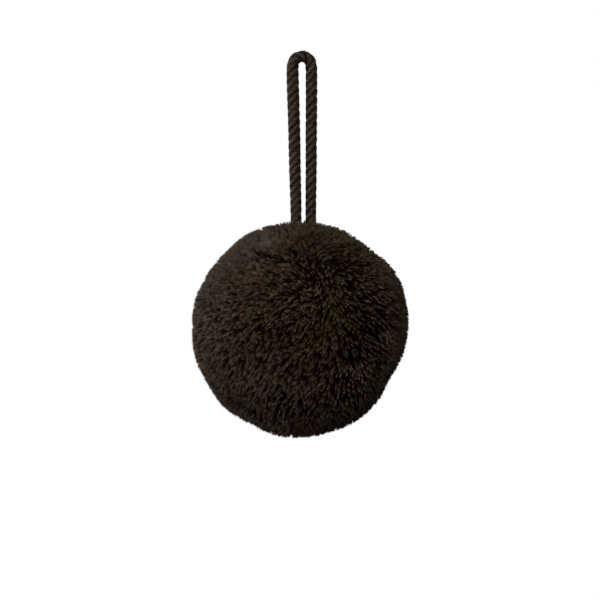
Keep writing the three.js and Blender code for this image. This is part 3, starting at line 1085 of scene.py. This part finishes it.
def cord_material():
    m, nt, p = new_material("twisted_cord")
    uv = nt.nodes.new("ShaderNodeUVMap")
    uv.uv_map = "yarn_run"
    stretch = nt.nodes.new("ShaderNodeMapping")
    stretch.inputs["Scale"].default_value = (0.9, 0.70, 1.0)
    nt.links.new(uv.outputs["UV"], stretch.inputs["Vector"])
    fibres = nt.nodes.new("ShaderNodeTexNoise")
    fibres.inputs["Scale"].default_value = 1.0
    fibres.inputs["Detail"].default_value = 5.0
    fibres.inputs["Roughness"].default_value = 0.72
    nt.links.new(stretch.outputs["Vector"], fibres.inputs["Vector"])
    streaks = ramp(
        nt,
        [
            (0.41, (0.0165, 0.0101, 0.0070)),
            (0.50, (0.0405, 0.0268, 0.0187)),
            (0.59, (0.0990, 0.0736, 0.0572)),
        ],
        fibres.outputs["Fac"],
    )
    # Painted light and shade from the rise value: dark in the grooves, the heart and the inside of the
    # crown, pale on the strands' crests.
    painted_groove_shade = ramp(
        nt,
        [
            (0.0, (0.18, 0.11, 0.08)),
            (0.50, (0.31, 0.245, 0.20)),
            (0.80, (0.68, 0.63, 0.60)),
            (1.0, (1.0, 1.0, 1.0)),
        ],
        attribute(nt, "rise"),
    )
    nt.links.new(multiply(nt, streaks, painted_groove_shade), p.inputs["Base Color"])
    bump = nt.nodes.new("ShaderNodeBump")
    bump.inputs["Strength"].default_value = 0.6
    bump.inputs["Distance"].default_value = 0.00012
    nt.links.new(fibres.outputs["Fac"], bump.inputs["Height"])
    nt.links.new(bump.outputs["Normal"], p.inputs["Normal"])
    p.inputs["Roughness"].default_value = 0.6
    p.inputs["Specular IOR Level"].default_value = 0.18
    p.inputs["Specular Tint"].default_value = (1.0, 0.90, 0.82, 1)
    return m


# ---- Studio ----------------------------------------------------------------------------------------
# Round soft lights, all as far from the tassel. Azimuth is 0 in front of the tassel and 90 at
# +X, elevation is above its middle, size is across in metres, and light is what falls on the
# tassel in W/m2.
LIGHT_AWAY = 1.3
LIGHTS = [
    {"name": "front", "azimuth": 15, "elevation": 5, "size": 0.27, "light": 0.63},
    {"name": "front_left", "azimuth": -35, "elevation": 5, "size": 0.37, "light": 0.64},
    {"name": "front_high", "azimuth": -20, "elevation": 35, "size": 0.27, "light": 0.63},
    {"name": "right_high", "azimuth": 20, "elevation": 35, "size": 0.37, "light": 0.42},
    {"name": "left", "azimuth": -90, "elevation": 5, "size": 0.37, "light": 0.94},
    {"name": "left_soft", "azimuth": -80, "elevation": 5, "size": 0.95, "light": 0.64},
    {"name": "behind_left", "azimuth": -150, "elevation": 40, "size": 0.95, "light": 0.38},
    {"name": "behind_right", "azimuth": 135, "elevation": 50, "size": 0.95, "light": 0.17},
    {"name": "left_low", "azimuth": -65, "elevation": -20, "size": 0.37, "light": 0.20},
]
LIGHT_COLOURS = {
    "front": (1.00, 1.04, 1.12),
    "front_left": (1.00, 0.96, 1.06),
    "front_high": (1.00, 1.06, 0.90),
    "right_high": (1.00, 1.06, 0.82),
    "left": (1.00, 1.04, 1.24),
    "left_soft": (1.00, 1.03, 1.23),
    "behind_left": (1.00, 1.11, 1.08),
    "behind_right": (1.00, 1.22, 1.42),
    "left_low": (1.00, 0.88, 1.12),
}


def make_lights():
    middle = Vector((-0.001, 0, -0.095))
    for row in LIGHTS:
        a, e = math.radians(row["azimuth"]), math.radians(row["elevation"])
        way = Vector((math.sin(a) * math.cos(e), -math.cos(a) * math.cos(e), math.sin(e)))
        data = bpy.data.lights.new(row["name"], "AREA")
        data.shape, data.size = "DISK", row["size"]
        data.energy = row["light"] * math.pi * LIGHT_AWAY**2
        data.color = LIGHT_COLOURS[row["name"]]
        ob = bpy.data.objects.new(row["name"], data)
        bpy.context.scene.collection.objects.link(ob)
        ob.location = middle + way * LIGHT_AWAY
        ob.rotation_euler = (-way).to_track_quat("-Z", "Y").to_euler()


def make_studio():
    scene = bpy.context.scene
    scene.view_settings.view_transform = "Standard"
    scene.view_settings.look = "None"
    world = bpy.data.worlds.new("studio")
    scene.world = world
    world.use_nodes = True
    nt = world.node_tree
    # A faint even light from all round, and a plain white backdrop.
    glow = nt.nodes["Background"]
    glow.inputs["Color"].default_value = (1, 1, 1, 1)
    glow.inputs["Strength"].default_value = 0.02
    plain = nt.nodes.new("ShaderNodeBackground")
    plain.inputs["Color"].default_value = (1, 1, 1, 1)
    seen = nt.nodes.new("ShaderNodeLightPath")
    mix = nt.nodes.new("ShaderNodeMixShader")
    nt.links.new(seen.outputs["Is Camera Ray"], mix.inputs[0])
    nt.links.new(glow.outputs[0], mix.inputs[1])
    nt.links.new(plain.outputs[0], mix.inputs[2])
    nt.links.new(mix.outputs[0], nt.nodes["World Output"].inputs["Surface"])
    make_lights()

    size = 4.0
    verts = np.array([[-size, -size, 0], [size, -size, 0], [size, size, 0], [-size, size, 0]])
    floor = mesh_object("floor", verts + [0, 0, -1.3], [np.array([[0, 1, 2, 3]])], False)
    m, nt, p = new_material("pale_floor")
    p.inputs["Base Color"].default_value = (0.86, 0.86, 0.85, 1)
    p.inputs["Roughness"].default_value = 0.9
    # It's as pale as the backdrop, though the lights on the tassel hardly reach it.
    p.inputs["Emission Color"].default_value = (1, 1, 1, 1)
    p.inputs["Emission Strength"].default_value = 1.0
    m.cycles.emission_sampling = "NONE"
    floor.data.materials.append(m)
    floor.visible_diffuse = floor.visible_glossy = False


# ---- The tassel --------------------------------------------------------------------------------------
make_camera()
make_cord()
reach = pile_surface()
gaps = pile_gaps()
tufts, fine_places = wide_places(TUFTED, TUFTED_ELSEWHERE), wide_places(FINE, FINE_ELSEWHERE)
ends = make_ends(reach, gaps, tufts, fine_places)
wool = yarn_material("wool_pile", 0.34)
make_pile(ends, gaps, wool, yarn_material("wool_deep", 0.08))
# The loose fibres are paler and greyer than the yarn: partly their own colour and partly a painted
# sheen for the haze they give at the rim.
fuzz_and_sheen = fuzz_material("wool_fuzz_and_sheen", (0.062, 0.036, 0.016), (0.218, 0.190, 0.160))
make_fibres(ends, gaps, yarn_material("wool_wisps", 0.20), fuzz_and_sheen)
make_core(reach, core_painted_shade_material())
make_studio()
